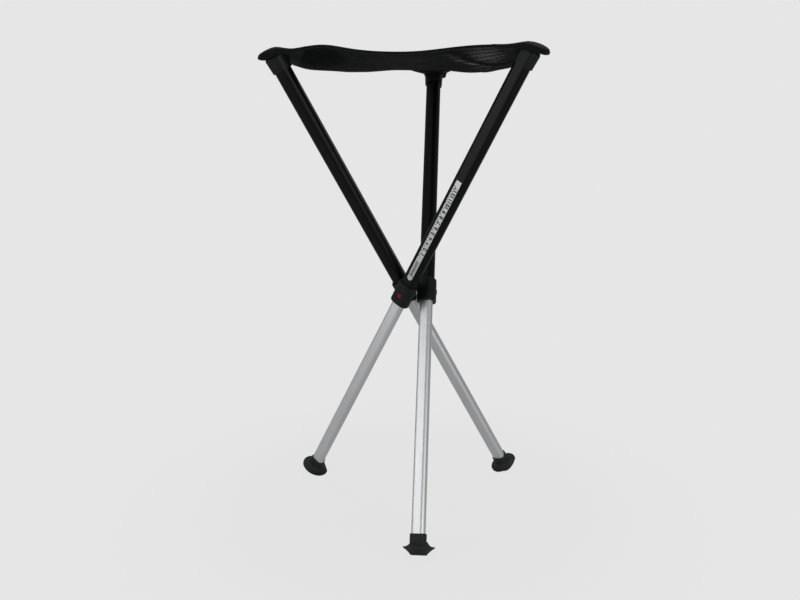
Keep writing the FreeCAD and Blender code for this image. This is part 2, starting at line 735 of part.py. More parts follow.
def hem_sag(opposite):
    """How far the hem sags that lies opposite one corner: the rear ones hang slacker."""
    return bare("front_hem_sag" if opposite == "back" else "rear_hem_sag")


def add_seat_part(label, shape, turn=0.0):
    piece = doc.addObject("Part::Feature", label)
    piece.Label = label
    piece.Shape = shape
    piece.Placement = Placement(Vector(), Rotation(Vector(0, 0, 1), turn))
    parts.append(piece)


def make_seat_panel(seat):
    """The slack three-cornered sling, inside its bound edges and between the corner pieces."""
    inset = bare("hem_width")
    first, last = -(seat.inradius - inset), seat.inner_edge
    stations = 6
    bands = []
    for step in range(stations + 1):
        out = first + (last - first) * step / stations
        width = seat.half_width(out) - inset / math.cos(HALF_CORNER)
        side = seat.side_height(out, bare("rear_hem_sag"))
        middle = seat.middle_height(out)
        bands.append(arc_band(out, width, middle, side, side, bare("panel_thickness")))
    sling = Part.makeLoft(bands, True, False)
    for block in corner_blocks(seat)[1:]:
        sling = sling.cut(block)
    add_seat_part("seat_panel", sling.Solids[0], seat.turn)


def make_seat_binding(seat):
    """The bound edges: one folded tape along each side, from corner piece to corner piece."""
    inner = -(seat.inradius - bare("hem_width"))
    thickness = bare("hem_thickness")
    proud = (thickness - bare("panel_thickness")) / 2
    tapes = []
    for opposite, turn in LEGS.items():
        sag = hem_sag(opposite)
        middle = seat.hem_height(0, sag) + proud
        end = seat.hem_height(seat.half_side, sag) + proud
        band = arc_band(inner - bare("fit_gap"), seat.half_side, middle, end, end, thickness)
        tape = Part.Face(band).extrude(Vector(0, bare("fit_gap") - bare("hem_width"), 0))
        for block in corner_blocks(seat):
            tape = tape.cut(block)
        tape = tape.Solids[0].copy()
        tape.rotate(Vector(), Vector(0, 0, 1), turn)
        tapes.append(tape)
    add_seat_part("seat_binding", Part.makeCompound(tapes), seat.turn)


def cap_room(place):
    """The room that an end cap takes up in its seat corner."""
    reach = bare("section_reach")
    corners = [
        Vector(reach * math.cos(math.radians(angle)), reach * math.sin(math.radians(angle)), 0)
        for angle in (*SECTION_CORNERS, SECTION_CORNERS[0])
    ]
    section = Part.Face(Part.makePolygon(corners)).makeOffset2D(
        value(CAP_TOP_RADIUS) + bare("fit_gap")
    )
    tall = bare("cap_skirt") + bare("cap_end") + bare("fit_gap")
    room = section.extrude(Vector(0, 0, tall)).Solids[0]
    top = [edge for edge in room.Edges if edge.BoundBox.ZMin > tall - 0.01]
    room = room.makeFillet(bare("cap_round"), top)
    start = Placement(Vector(0, 0, bare("upper_reach") - bare("cap_skirt")), Rotation())
    room.Placement = place.multiply(start)
    return room


def make_seat_corner(seat, leg, place):
    """The stitched corner: a pocket over the leg's end cap, with a tongue that hangs outwards."""
    inside = bare("face_gap") - bare("corner_inside")
    joined = seat.leg_radius + inside
    thin, thick = bare("panel_thickness"), bare("corner_thickness")
    wide, blunt = bare("corner_width") / 2, bare("corner_tip_width") / 2
    corners = list(LEGS)
    at = corners.index(leg)
    # The hem on its left lies opposite the corner on its right, and the other way round.
    left_sag, right_sag = hem_sag(corners[at - 2]), hem_sag(corners[at - 1])
    # Each row: distance from the leg, half the width, heights of middle and sides, thickness
    panel_end = (
        inside,
        seat.half_width(joined),
        seat.middle_height(joined),
        seat.side_height(joined, left_sag),
        seat.side_height(joined, right_sag),
        thin,
    )
    rows = []
    for share in (0, 0.4, 0.8, 1):
        fullness = math.sqrt(1 - share**2)
        out = share * bare("corner_outside")
        half = blunt + (wide - blunt) * fullness
        top = seat.height - bare("corner_droop") * share**2
        fill = half / wide
        side = top - bare("corner_side_drop") * fill
        rows.append((out, half, top, side, side, thick * fill))
    full = bare("corner_fullness")
    halfway = (inside / 2, *(a + (b - a) * full for a, b in zip(panel_end[1:], rows[0][1:])))
    bands = [arc_band(seat.leg_radius + row[0], *row[1:]) for row in (panel_end, halfway, *rows)]
    pouch = Part.makeLoft(bands, True, False)
    pouch.rotate(Vector(), Vector(0, 0, 1), seat.turn + LEGS[leg])
    add_seat_part(f"seat_corner_{leg}", pouch.cut(cap_room(place)))


make_hub_core()
for leg, turn in LEGS.items():
    place = leg_place(turn)
    make_pivot_pin(leg, turn)
    make_pivot_washer(leg, turn)
    make_collar(leg, place)
    make_lock_button(leg, place)
    make_upper_tube(leg, place)
    make_top_cap(leg, place)
    make_lower_tube(leg, place)
    make_guide_bush(leg, place)
    make_lock_pin(leg, place)
    make_lock_spring(leg, place)
    make_foot(leg, place)
make_scale_strip("right", leg_place(LEGS["right"]))
doc.recompute()

seat = Seat()
make_seat_panel(seat)
make_seat_binding(seat)
for leg, turn in LEGS.items():
    make_seat_corner(seat, leg, leg_place(turn))
doc.recompute()

for thing in doc.Objects:
    if {"Invalid", "Error"} & set(thing.State):
        raise RuntimeError(f"{thing.Label} failed: {thing.State}")
for part in parts:
    if part.Shape.isNull() or not part.Shape.isValid():
        raise RuntimeError(f"{part.Label} has no valid shape")

os.makedirs("parts", exist_ok=True)
for part in parts:
    part.Shape.exportStep(f"parts/{part.Label}.step")
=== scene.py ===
import json
import math

import bmesh
import bpy
from mathutils import Matrix, Vector


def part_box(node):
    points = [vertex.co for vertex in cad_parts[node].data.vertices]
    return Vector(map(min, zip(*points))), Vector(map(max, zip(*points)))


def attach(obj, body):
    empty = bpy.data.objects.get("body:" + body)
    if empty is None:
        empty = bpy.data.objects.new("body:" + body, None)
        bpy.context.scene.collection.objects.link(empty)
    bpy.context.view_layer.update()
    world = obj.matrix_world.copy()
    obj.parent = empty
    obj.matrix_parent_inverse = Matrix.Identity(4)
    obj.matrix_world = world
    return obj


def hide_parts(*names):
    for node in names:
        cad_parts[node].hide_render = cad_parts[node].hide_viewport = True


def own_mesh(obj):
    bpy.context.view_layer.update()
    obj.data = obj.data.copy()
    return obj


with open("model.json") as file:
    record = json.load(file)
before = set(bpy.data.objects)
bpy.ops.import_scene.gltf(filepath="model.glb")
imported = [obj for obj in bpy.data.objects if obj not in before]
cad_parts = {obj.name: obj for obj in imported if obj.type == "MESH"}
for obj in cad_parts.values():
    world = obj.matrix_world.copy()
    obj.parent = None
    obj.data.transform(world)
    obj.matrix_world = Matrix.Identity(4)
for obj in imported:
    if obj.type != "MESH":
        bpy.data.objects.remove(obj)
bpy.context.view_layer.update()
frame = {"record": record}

# The stool and how it is looked at. Three telescopic legs cross at a small hub and carry a slung
# seat on their tops. The camera stands a little under the seat's height and sees its underside.
# Two big soft lamps stand at its left and right, with one more above it.
LEGS = ("back", "right", "left")
LOOKS_DOWN, LEANS, HEADING = 11.31, -0.1, 94.11

camera = bpy.data.objects.new("camera", bpy.data.cameras.new("camera"))
camera.location = (0.09097, -1.26594, 0.60726)
camera.rotation_euler = [math.radians(a) for a in (90 - LOOKS_DOWN, LEANS, HEADING - 90)]
camera.data.lens = 34.48
camera.data.shift_x = -0.01635
bpy.context.scene.collection.objects.link(camera)
bpy.context.scene.camera = camera
bpy.context.scene.view_settings.view_transform = "Standard"


def add_lamp(name, place, aim, size, watts):
    """A square soft lamp that faces a point."""
    lamp = bpy.data.objects.new(name, bpy.data.lights.new(name, "AREA"))
    lamp.data.size = size
    lamp.data.energy = watts
    lamp.location = place
    lamp.rotation_euler = (Vector(aim) - Vector(place)).to_track_quat("-Z", "Y").to_euler()
    bpy.context.scene.collection.objects.link(lamp)


STOOL_MIDDLE = (0, 0, 0.4)
add_lamp("left_softbox", (-1.7, -1.1, 0.95), STOOL_MIDDLE, size=1.2, watts=14)
add_lamp("right_softbox", (1.2, -1.75, 0.4), STOOL_MIDDLE, size=1.7, watts=27)
add_lamp("top_softbox", (0.1, 0.5, 2.3), STOOL_MIDDLE, size=1.2, watts=20)


# The collars, end caps and hub. Glass-filled black nylon, moulded, with a fine spark-eroded grain
# that scatters the light. A collar holds the upper tube on a step inside it and turns on the hub.
def add_node(tree, kind, inputs=None, **settings):
    """A shader node. Each input is a value or another node's output."""
    node = tree.nodes.new(kind)
    for name, setting in settings.items():
        setattr(node, name, setting)
    for socket, source in (inputs or {}).items():
        if isinstance(source, bpy.types.NodeSocket):
            tree.links.new(source, node.inputs[socket])
        else:
            node.inputs[socket].default_value = source
    return node


def new_finish(name, **sockets):
    """A material whose one shader gets these values, with its node tree and its shader."""
    material = bpy.data.materials.new(name)
    material.use_nodes = True
    shader = material.node_tree.nodes["Principled BSDF"]
    for socket, number in sockets.items():
        shader.inputs[socket.replace("_", " ")].default_value = number
    return material, material.node_tree, shader


def object_place(tree):
    """The place on a piece, in its own axes, so that a pattern moves with it."""
    return add_node(tree, "ShaderNodeTexCoord").outputs["Object"]


def speckle(tree, scale, detail, place=None):
    """An irregular pattern that is fixed to the piece, from 0 to 1."""
    if place is None:
        place = object_place(tree)
    noise = {"Vector": place, "Scale": scale, "Detail": detail}
    return add_node(tree, "ShaderNodeTexNoise", noise).outputs["Fac"]


def ramp(tree, value, start, end, low=0.0, high=1.0, curve="LINEAR"):
    """A value taken from one range to another, and held at the ends."""
    ranges = {"Value": value, "From Min": start, "From Max": end, "To Min": low, "To Max": high}
    node = add_node(tree, "ShaderNodeMapRange", ranges, interpolation_type=curve)
    return node.outputs["Result"]


def colour(tree, shader, share, dark, light):
    """The shader's colour, between two by a 0 to 1 pattern."""
    mix = add_node(tree, "ShaderNodeMix", data_type="RGBA")
    tree.links.new(share, mix.inputs["Factor"])
    mix.inputs["A"].default_value = (*dark, 1)
    mix.inputs["B"].default_value = (*light, 1)
    tree.links.new(mix.outputs["Result"], shader.inputs["Base Color"])


def roughen(tree, shader, share, smooth, rough):
    """The shader's roughness, between two numbers by a 0 to 1 pattern."""
    tree.links.new(ramp(tree, share, 0, 1, smooth, rough), shader.inputs["Roughness"])


def emboss(tree, shader, height, depth):
    """Bump of a real depth, in metres, on a shader."""
    bump = add_node(tree, "ShaderNodeBump", {"Height": height, "Distance": depth})
    tree.links.new(bump.outputs["Normal"], shader.inputs["Normal"])


def finish_node(node, material):
    """A CAD node keeps its shape and gets this material."""
    for place in bpy.data.objects[node].material_slots:
        place.material = material


joint = {entry["name"]: entry for entry in frame["record"]["behaviour"]["joints"]}


def leg_axes(leg):
    """The leg's pivot, and its turning matrix: X away from the hub, Z up along the leg."""
    away = Vector(joint[f"fold_{leg}"]["axis"])
    along = Vector(joint[f"extend_{leg}"]["axis"])
    turning = Matrix((away, along.cross(away), along)).transposed()
    return Vector(joint[f"fold_{leg}"]["pos_m"]), turning


def leg_matrix(leg):
    """From a leg's own axes to the stool's."""
    pivot, turning = leg_axes(leg)
    return Matrix.Translation(pivot) @ turning.to_4x4()


def grid_mesh(name, rows, closed_across=False):
    """A mesh over rows of points."""
    points = [point for row in rows for point in row]
    wide = len(rows[0])
    faces = []
    for row in range(len(rows) - 1):
        for column in range(wide if closed_across else wide - 1):
            after = (column + 1) % wide
            first, second = row * wide, (row + 1) * wide
            faces.append((first + column, first + after, second + after, second + column))
    mesh = bpy.data.meshes.new(name)
    mesh.from_pydata(points, [], faces)
    mesh.polygons.foreach_set("use_smooth", [True] * len(faces))
    return mesh


def add_piece(name, mesh, body, slot, *materials):
    """A finished piece: its mesh, what it is made of and the body that it rides on."""
    mesh.materials.clear()
    for material in materials:
        mesh.materials.append(material)
    piece = bpy.data.objects.new(name, mesh)
    bpy.context.scene.collection.objects.link(piece)
    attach(piece, body)
    return piece


GRAIN_SIZE = 0.0005
plastic, tree, shader = new_finish("moulded_nylon", Specular_IOR_Level=0.16)
flow = speckle(tree, scale=60, detail=4)
colour(tree, shader, flow, dark=(0.003, 0.0035, 0.004), light=(0.008, 0.009, 0.0095))
roughen(tree, shader, flow, smooth=0.42, rough=0.6)
emboss(tree, shader, speckle(tree, scale=1 / GRAIN_SIZE, detail=3), depth=0.00005)
finish_node("hub_core", plastic)
for leg in LEGS:
    finish_node(f"collar_{leg}", plastic)
    finish_node(f"top_cap_{leg}", plastic)

# A moulded lip runs round the tube on each collar, and a small ring round each button's hole.
SECTION_REACH, LIP_RADIUS, LIP_WIRE, LIP_HEIGHT = 0.006, 0.0095, 0.0008, 0.0212
RING_RADIUS, RING_WIRE, COLLAR_FACE = 0.0046, 0.0005, 0.015
WIRE_SIDES, RING_STEPS = 10, 36


def wire_round(spots):
    """A closed wire's rows of points. Each spot is a place, two directions across and a radius."""
    rows = []
    for place, aside, above, radius in spots:
        angles = [math.tau * step / WIRE_SIDES for step in range(WIRE_SIDES)]
        rows.append([place + (aside * math.cos(a) + above * math.sin(a)) * radius for a in angles])
    return [*rows, rows[0]]


def lip_spots():
    """Round the tube's section: three arcs, joined by flats."""
    for corner in (60, 180, 300):
        middle = Vector((math.cos(math.radians(corner)), math.sin(math.radians(corner)), 0))
        for step in range(-60, 61, 10):
            angle = math.radians(corner + step)
            outwards = Vector((math.cos(angle), math.sin(angle), 0))
            place = middle * SECTION_REACH + outwards * LIP_RADIUS + Vector((0, 0, LIP_HEIGHT))
            yield place, outwards, Vector((0, 0, 1)), LIP_WIRE


def ring_spots():
    """Round the button's hole, on the collar's face."""
    for step in range(RING_STEPS):
        angle = math.tau * step / RING_STEPS
        outwards = Vector((0, math.cos(angle), math.sin(angle)))
        place = Vector((COLLAR_FACE, 0, 0)) + outwards * RING_RADIUS
        yield place, outwards, Vector((1, 0, 0)), RING_WIRE


for leg in LEGS:
    for name, spots in (("collar_lip", lip_spots()), ("button_ring", ring_spots())):
        wire = grid_mesh(name, wire_round(spots), closed_across=True)
        wire.transform(leg_matrix(leg))
        add_piece(f"{name}_{leg}", wire, f"upper_leg_{leg}", "black_plastic", plastic)


# The lock buttons. Glossy red acetal, one in each collar's outer flat. The thumb presses it to
# push the sprung lock pin behind it back into the lower tube.
button_red, tree, shader = new_finish("red_acetal", Roughness=0.28, Specular_IOR_Level=0.25)
scuffs = speckle(tree, scale=420, detail=5)
colour(tree, shader, scuffs, dark=(0.13, 0.003, 0.004), light=(0.24, 0.006, 0.007))
emboss(tree, shader, scuffs, depth=0.00004)
for leg in LEGS:
    finish_node(f"lock_button_{leg}", button_red)


# The tubes. Aluminium drawn to a section with three flats and round corners, so that they can't
# turn in each other. The upper ones are anodised black, the lower ones clear. Drawing leaves
# fine lines along a tube, so each leg's finish is turned to that leg.
DRAWN_LINES, DRAWN_CLOUDS = 70, 4


def mapped(tree, kind, **inputs):
    """The place on a piece, moved, turned and scaled."""
    node = add_node(
        tree, "ShaderNodeMapping", {"Vector": object_place(tree), **inputs}, vector_type=kind
    )
    return node.outputs["Vector"]


def along_leg(tree, leg, stretch):
    """The place on a leg in its own axes, with its length drawn out."""
    pivot, turning = leg_axes(leg)
    return mapped(
        tree, "TEXTURE", Location=pivot, Rotation=turning.to_euler(), Scale=(1, 1, stretch)
    )


def drawn_tube_finish(name, leg, dark, light, smooth, rough, **sockets):
    """Anodised tube: fine lines along it, and long faint clouds in its colour."""
    material, tree, shader = new_finish(name, **sockets)
    lines = speckle(tree, scale=1500, detail=3, place=along_leg(tree, leg, DRAWN_LINES))
    clouds = speckle(tree, scale=45, detail=5, place=along_leg(tree, leg, DRAWN_CLOUDS))
    colour(tree, shader, clouds, dark, light)
    roughen(tree, shader, lines, smooth, rough)
    emboss(tree, shader, lines, depth=0.00001)
    return material


for leg in LEGS:
    black = drawn_tube_finish(
        f"black_anodising_{leg}",
        leg,
        dark=(0.0012, 0.0015, 0.0014),
        light=(0.0026, 0.003, 0.0028),
        smooth=0.33,
        rough=0.42,
        Specular_IOR_Level=0.115,
    )
    finish_node(f"upper_tube_{leg}", black)
    silver = drawn_tube_finish(
        f"clear_anodising_{leg}",
        leg,
        dark=(0.5, 0.505, 0.515),
        light=(0.62, 0.625, 0.635),
        smooth=0.42,
        rough=0.54,
        Metallic=1.0,
    )
    finish_node(f"lower_tube_{leg}", silver)


# Inside the legs and at the hub: turned steel pins, hairpin springs of strip steel, and bushes
# and washers of natural white acetal. Little of them shows, mostly at the pivots.
bright_steel, tree, shader = new_finish("bright_steel", Metallic=1.0)
marks = speckle(tree, scale=900, detail=4)
colour(tree, shader, marks, dark=(0.48, 0.48, 0.47), light=(0.62, 0.62, 0.61))
roughen(tree, shader, marks, smooth=0.2, rough=0.42)
emboss(tree, shader, marks, depth=0.00001)

white_acetal, tree, shader = new_finish("white_acetal", Roughness=0.42)
haze = speckle(tree, scale=260, detail=3)
colour(tree, shader, haze, dark=(0.62, 0.61, 0.57), light=(0.74, 0.73, 0.69))
emboss(tree, shader, haze, depth=0.00003)
for leg in LEGS:
    finish_node(f"pivot_pin_{leg}", bright_steel)
    finish_node(f"lock_pin_{leg}", bright_steel)
    finish_node(f"lock_spring_{leg}", bright_steel)
    finish_node(f"pivot_washer_{leg}", white_acetal)
    finish_node(f"guide_bush_{leg}", white_acetal)


# The feet. Black rubber, moulded in one: a neck that grips the tube, a wide brim that bends with
# the ground and a blunt tread. The surface is matt, a little greyer where it has rubbed.
rubber, tree, shader = new_finish("moulded_rubber", Specular_IOR_Level=0.22)
rubbed = speckle(tree, scale=70, detail=6)
colour(tree, shader, rubbed, dark=(0.006, 0.0075, 0.0075), light=(0.018, 0.021, 0.02))
roughen(tree, shader, rubbed, smooth=0.5, rough=0.72)
emboss(tree, shader, speckle(tree, scale=1400, detail=2), depth=0.00008)
for leg in LEGS:
    finish_node(f"foot_{leg}", rubber)


# The scale strip. Brushed foil glued on the front right leg's flat, printed in black with a plain
# ruler: a block of fine lines at its lower end, then a tick to each half centimetre and a number
# in each whole one.
STRIP_LEG = "right"
STRIP_FACE = 0.0117
STRIP_START = 0.032
BRUSH_LINES = 60
PRINT_THICKNESS = 0.00006
RULER_START, RULER_STEP, RULER_NUMBERS = 0.046, 0.01, 13
NUMBER_HEIGHT, NUMBER_BOLDNESS, NUMBER_ASIDE = 0.0062, 0.0005, -0.0013
FONT_SIZE_TO_HEIGHT = 1.4
TICK_LONG, TICK_WIDE, TICK_ASIDE = 0.0016, 0.0013, 0.0035
LONGER_TICK, EVERY_SECOND, NEVER = 1.7, 2.0, 99.0
FINE_START, FINE_STEP, FINE_LINES, FINE_LONG = 0.009, 0.0022, 13, 0.0056

foil, tree, shader = new_finish("brushed_foil", Metallic=0.85)
brushed = speckle(tree, scale=2600, detail=3, place=along_leg(tree, STRIP_LEG, BRUSH_LINES))
colour(tree, shader, brushed, dark=(0.3, 0.31, 0.32), light=(0.5, 0.51, 0.52))
roughen(tree, shader, brushed, smooth=0.35, rough=0.55)
emboss(tree, shader, brushed, depth=0.00001)
finish_node("scale_strip", foil)

print_black, tree, shader = new_finish("black_print", Roughness=0.55)
inking = speckle(tree, scale=900, detail=4)
colour(tree, shader, inking, dark=(0.008, 0.008, 0.009), light=(0.025, 0.025, 0.027))
emboss(tree, shader, inking, depth=0.00002)


def strip_matrix(above, along):
    """The place of a print on the strip: X runs up the leg, Y is up for a number, Z faces out."""
    pivot, turning = leg_axes(STRIP_LEG)
    away, side, up = turning.transposed()
    flat = Matrix((up, -side, away)).transposed().to_4x4()
    flat.translation = pivot + turning @ Vector((STRIP_FACE, -above, along))
    return flat


def mesh_of(thing):
    """The evaluated shape of an object as a plain mesh, with the object itself removed."""
    bpy.context.view_layer.update()
    evaluated = thing.evaluated_get(bpy.context.evaluated_depsgraph_get())
    mesh = bpy.data.meshes.new_from_object(evaluated)
    bpy.data.objects.remove(thing)
    return mesh


for number in range(1, RULER_NUMBERS + 1):
    text = bpy.data.curves.new(f"number_{number}", "FONT")
    text.body = str(number)
    text.size = NUMBER_HEIGHT * FONT_SIZE_TO_HEIGHT
    text.offset = NUMBER_BOLDNESS
    text.align_x, text.align_y = "CENTER", "CENTER"
    text.extrude = PRINT_THICKNESS / 2
    digit = bpy.data.objects.new(f"number_{number}", text)
    bpy.context.scene.collection.objects.link(digit)
    print_mesh = mesh_of(digit)
    along = STRIP_START + RULER_START + (number - 0.5) * RULER_STEP
    print_mesh.transform(strip_matrix(NUMBER_ASIDE, along))
    name = f"strip_number_{number}"
    add_piece(name, print_mesh, f"upper_leg_{STRIP_LEG}", "strip_metal", print_black)


def new_recipe(name, **sockets):
    """A Geometry Nodes tree with these inputs, the identifiers that set them on a modifier, and
    the inputs as the tree's nodes see them."""
    tree = bpy.data.node_groups.new(name, "GeometryNodeTree")
    keys = {
        socket: tree.interface.new_socket(socket, in_out="INPUT", socket_type=kind).identifier
        for socket, kind in sockets.items()
    }
    tree.interface.new_socket("Geometry", in_out="OUTPUT", socket_type="NodeSocketGeometry")
    return tree, keys, tree.nodes.new("NodeGroupInput").outputs


def give_out(tree, copies, material):
    """The recipe gives out these copies as real mesh, in one material."""
    real = add_node(tree, "GeometryNodeRealizeInstances", {"Geometry": copies})
    dressing = {"Geometry": real.outputs["Geometry"], "Material": material}
    dressed = add_node(tree, "GeometryNodeSetMaterial", dressing)
    out = tree.nodes.new("NodeGroupOutput")
    tree.links.new(dressed.outputs["Geometry"], out.inputs["Geometry"])


def tick_row_recipe():
    """Ticks in a row along X, with every few of them longer."""
    tree, keys, given = new_recipe(
        "tick_row",
        Ticks="NodeSocketInt",
        Gap="NodeSocketFloat",
        Every="NodeSocketFloat",
        Length="NodeSocketFloat",
        Width="NodeSocketFloat",
        Thickness="NodeSocketFloat",
        Material="NodeSocketMaterial",
    )
    step = add_node(tree, "ShaderNodeCombineXYZ", {"X": given["Gap"]})
    line = {"Count": given["Ticks"], "Offset": step.outputs[0]}
    row = add_node(tree, "GeometryNodeMeshLine", line)
    sides = {"X": given["Width"], "Y": given["Length"], "Z": given["Thickness"]}
    size = add_node(tree, "ShaderNodeCombineXYZ", sides)
    block = add_node(tree, "GeometryNodeMeshCube", {"Size": size.outputs[0]})
    counting = {0: add_node(tree, "GeometryNodeInputIndex").outputs[0], 1: given["Every"]}
    remainder = add_node(tree, "ShaderNodeMath", counting, operation="MODULO")
    is_whole = {"A": 0.5, "B": remainder.outputs[0]}
    marked = add_node(
        tree, "FunctionNodeCompare", is_whole, data_type="FLOAT", operation="GREATER_THAN"
    )
    longer = ramp(tree, marked.outputs[0], 0, 1, 1.0, LONGER_TICK)
    stretch = add_node(tree, "ShaderNodeCombineXYZ", {"X": 1.0, "Y": longer, "Z": 1.0})
    copying = {
        "Points": row.outputs["Mesh"],
        "Instance": block.outputs["Mesh"],
        "Scale": stretch.outputs[0],
    }
    ticks = add_node(tree, "GeometryNodeInstanceOnPoints", copying)
    give_out(tree, ticks.outputs["Instances"], given["Material"])
    return tree, keys


def made_by(tree, keys, base=None, **inputs):
    """The plain mesh that a recipe makes, from a base mesh where it needs one."""
    thing = bpy.data.objects.new(tree.name, base or bpy.data.meshes.new(tree.name))
    bpy.context.scene.collection.objects.link(thing)
    modifier = thing.modifiers.new("nodes", "NODES")
    modifier.node_group = tree
    for name, setting in inputs.items():
        modifier[keys[name]] = setting
    return mesh_of(thing)


tick_tree, tick_keys = tick_row_recipe()
HALF_CENTIMETRES = 2 * RULER_NUMBERS + 1
for name, start, count, gap, every, length, above in (
    ("ticks", RULER_START, HALF_CENTIMETRES, RULER_STEP / 2, EVERY_SECOND, TICK_LONG, TICK_ASIDE),
    ("fine_lines", FINE_START, FINE_LINES, FINE_STEP, NEVER, FINE_LONG, 0.0),
):
    ticks = made_by(
        tick_tree,
        tick_keys,
        Ticks=count,
        Gap=gap,
        Every=every,
        Length=length,
        Width=TICK_WIDE,
        Thickness=PRINT_THICKNESS,
        Material=print_black,
    )
    ticks.transform(strip_matrix(above, STRIP_START + start))
    add_piece(f"strip_{name}", ticks, f"upper_leg_{STRIP_LEG}", "strip_metal", print_black)


# The seat panel. Black polyester mesh, knitted open, slack enough to sag under its bound edges.
# On the real stool it is one cloth that crumples when the legs close. Here it is cut, along
# lines that don't show, into narrow gores from each corner.
LEG_REACH = 0.4335
HEM_MARGIN, HEM_WIDTH, HEM_OVERLAP = 0.016, 0.009, 0.006
CROWN_DROP = 0.003
HEM_SAG, PANEL_SAG, SAG_REACH = 0.006, 0.005, 0.028
PANEL_THICKNESS = 0.0014
COVER_FULLNESS = 0.0002
GORES, GORE_COLUMNS, GORE_ROWS = 8, 4, 36
GORE_START = 0.044
HALF_CORNER = 30
SHARP_FOLD = math.radians(45)

leg_top = {}
for leg in LEGS:
    pivot, turning = leg_axes(leg)
    leg_top[leg] = pivot + turning @ Vector((0, 0, LEG_REACH))
corner_radius = leg_top["back"].to_2d().length
in_radius = corner_radius / 2 + HEM_MARGIN
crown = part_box("seat_corner_back")[1].z + COVER_FULLNESS
outward = {leg: leg_top[leg].to_2d().normalized() for leg in LEGS}

# Folds of the slack cloth beside its edges: the corners that the edge joins, then how far from
# the first one, how wide and how high.
FOLDS = (
    ("left", "back", 0.070, 0.060, -0.015),
    ("left", "back", 0.170, 0.070, -0.011),
    ("right", "back", 0.080, 0.060, -0.015),
    ("right", "back", 0.180, 0.070, -0.014),
    ("left", "right", 0.075, 0.042, 0.009),
    ("left", "right", 0.200, 0.060, -0.004),
    ("left", "right", 0.310, 0.050, 0.003),
)


def hem_share(place):
    """How near a point is to each side, as three shares that add up to 1."""
    return [(in_radius + place.dot(outward[leg])) / (3 * in_radius) for leg in LEGS]


def between(shares):
    """How far from the corners the shares are: least at a corner, most in the middle."""
    return shares[0] * shares[1] + shares[1] * shares[2] + shares[2] * shares[0]


AT_CORNER = between(hem_share(leg_top["back"].to_2d()))
AT_EDGE_MIDDLE = 0.25


def fold_height(place, first, second, along, wide, high):
    """What one fold adds to the cloth's height at a point."""
    start, end = (outward[name] * corner_radius for name in (first, second))
    middle = start + (end - start).normalized() * along
    return high * math.exp(-(((place - middle).length / wide) ** 2))


def seat_height(place):
    """The cloth's height: it hangs from three corners, sags at its edges and more inside them."""
    shares = hem_share(place)
    edge = min(max((between(shares) - AT_CORNER) / (AT_EDGE_MIDDLE - AT_CORNER), 0), 1)
    inwards = 1 - math.exp(-max(min(shares), 0) * 3 * in_radius / SAG_REACH)
    folds = sum(fold_height(place, *fold) for fold in FOLDS)
    return crown - CROWN_DROP - HEM_SAG * edge - PANEL_SAG * inwards + folds


def turned(direction, angle):
    """A level direction, turned about the upright."""
    return Vector(
        (
            direction.x * math.cos(angle) - direction.y * math.sin(angle),
            direction.x * math.sin(angle) + direction.y * math.cos(angle),
        )
    )


def fan_ray(leg, angle, inset):
    """From a corner of the seat, inset from its edges, one ray to where the next corner's fan
    begins: its start, its direction and its length."""
    side = 2 * (in_radius - inset)
    apex = outward[leg] * side
    half_corner = math.radians(HALF_CORNER)
    length = side * math.cos(half_corner) / math.cos(half_corner - abs(angle))
    return apex, turned(-outward[leg], angle), length


# The knit's holes lie in diagonal rows. Beside the front right corner they are made more open as a
# painted highlight, so the pale floor shows through them there.
MESH_WIDE, MESH_LONG, MESH_TURN = 0.005, 0.012, math.radians(45)
HOLE_CLEAR, HOLE_EDGE = 0.22, 0.3
STRAND_EDGE, STRAND_FULL = 0.28, 0.46
HIGHLIGHT_HOLES_AT, HIGHLIGHT_HOLES_WIDE, HIGHLIGHT_HOLES_LONG = (0.105, -0.065, 0), 0.055, 0.11
HIGHLIGHT_HOLES_FULL, HIGHLIGHT_HOLES_NONE, ANY_HEIGHT = 0.3, 1.3, 1000
CLOSED_LEAST, CLOSED_MOST = 0.45, 0.84

seat_mesh, tree, shader = new_finish("open_knit", Specular_IOR_Level=0.035)
cells = mapped(
    tree, "POINT", Rotation=(0, 0, MESH_TURN), Scale=(1 / MESH_WIDE, 1 / MESH_LONG, 1)
)
voronoi = {"Vector": cells, "Randomness": 0.0}
holes = add_node(tree, "ShaderNodeTexVoronoi", voronoi, voronoi_dimensions="2D")
from_hole = holes.outputs["Distance"]
# Painted highlight: the knit's holes open more near this point, and the floor seen through them
# makes the knit lighter there.
highlight_reach = (HIGHLIGHT_HOLES_WIDE, HIGHLIGHT_HOLES_LONG, ANY_HEIGHT)
highlight_place = {0: mapped(tree, "TEXTURE", Location=HIGHLIGHT_HOLES_AT, Scale=highlight_reach)}
from_highlight = add_node(tree, "ShaderNodeVectorMath", highlight_place, operation="LENGTH").outputs["Value"]
closed = ramp(
    tree, from_highlight, HIGHLIGHT_HOLES_FULL, HIGHLIGHT_HOLES_NONE, CLOSED_LEAST, CLOSED_MOST, "SMOOTHSTEP"
)
yarns = speckle(tree, scale=1600, detail=2)
strand = ramp(tree, from_hole, STRAND_EDGE, STRAND_FULL, curve="SMOOTHSTEP")
lit = add_node(tree, "ShaderNodeMath", {0: strand, 1: yarns}, operation="MULTIPLY").outputs[0]
colour(tree, shader, lit, dark=(0.0012, 0.0015, 0.0014), light=(0.013, 0.0155, 0.0145))
roughen(tree, shader, yarns, smooth=0.62, rough=0.85)
tree.links.new(ramp(tree, from_hole, HOLE_CLEAR, HOLE_EDGE, low=closed), shader.inputs["Alpha"])
emboss(tree, shader, from_hole, depth=0.0004)

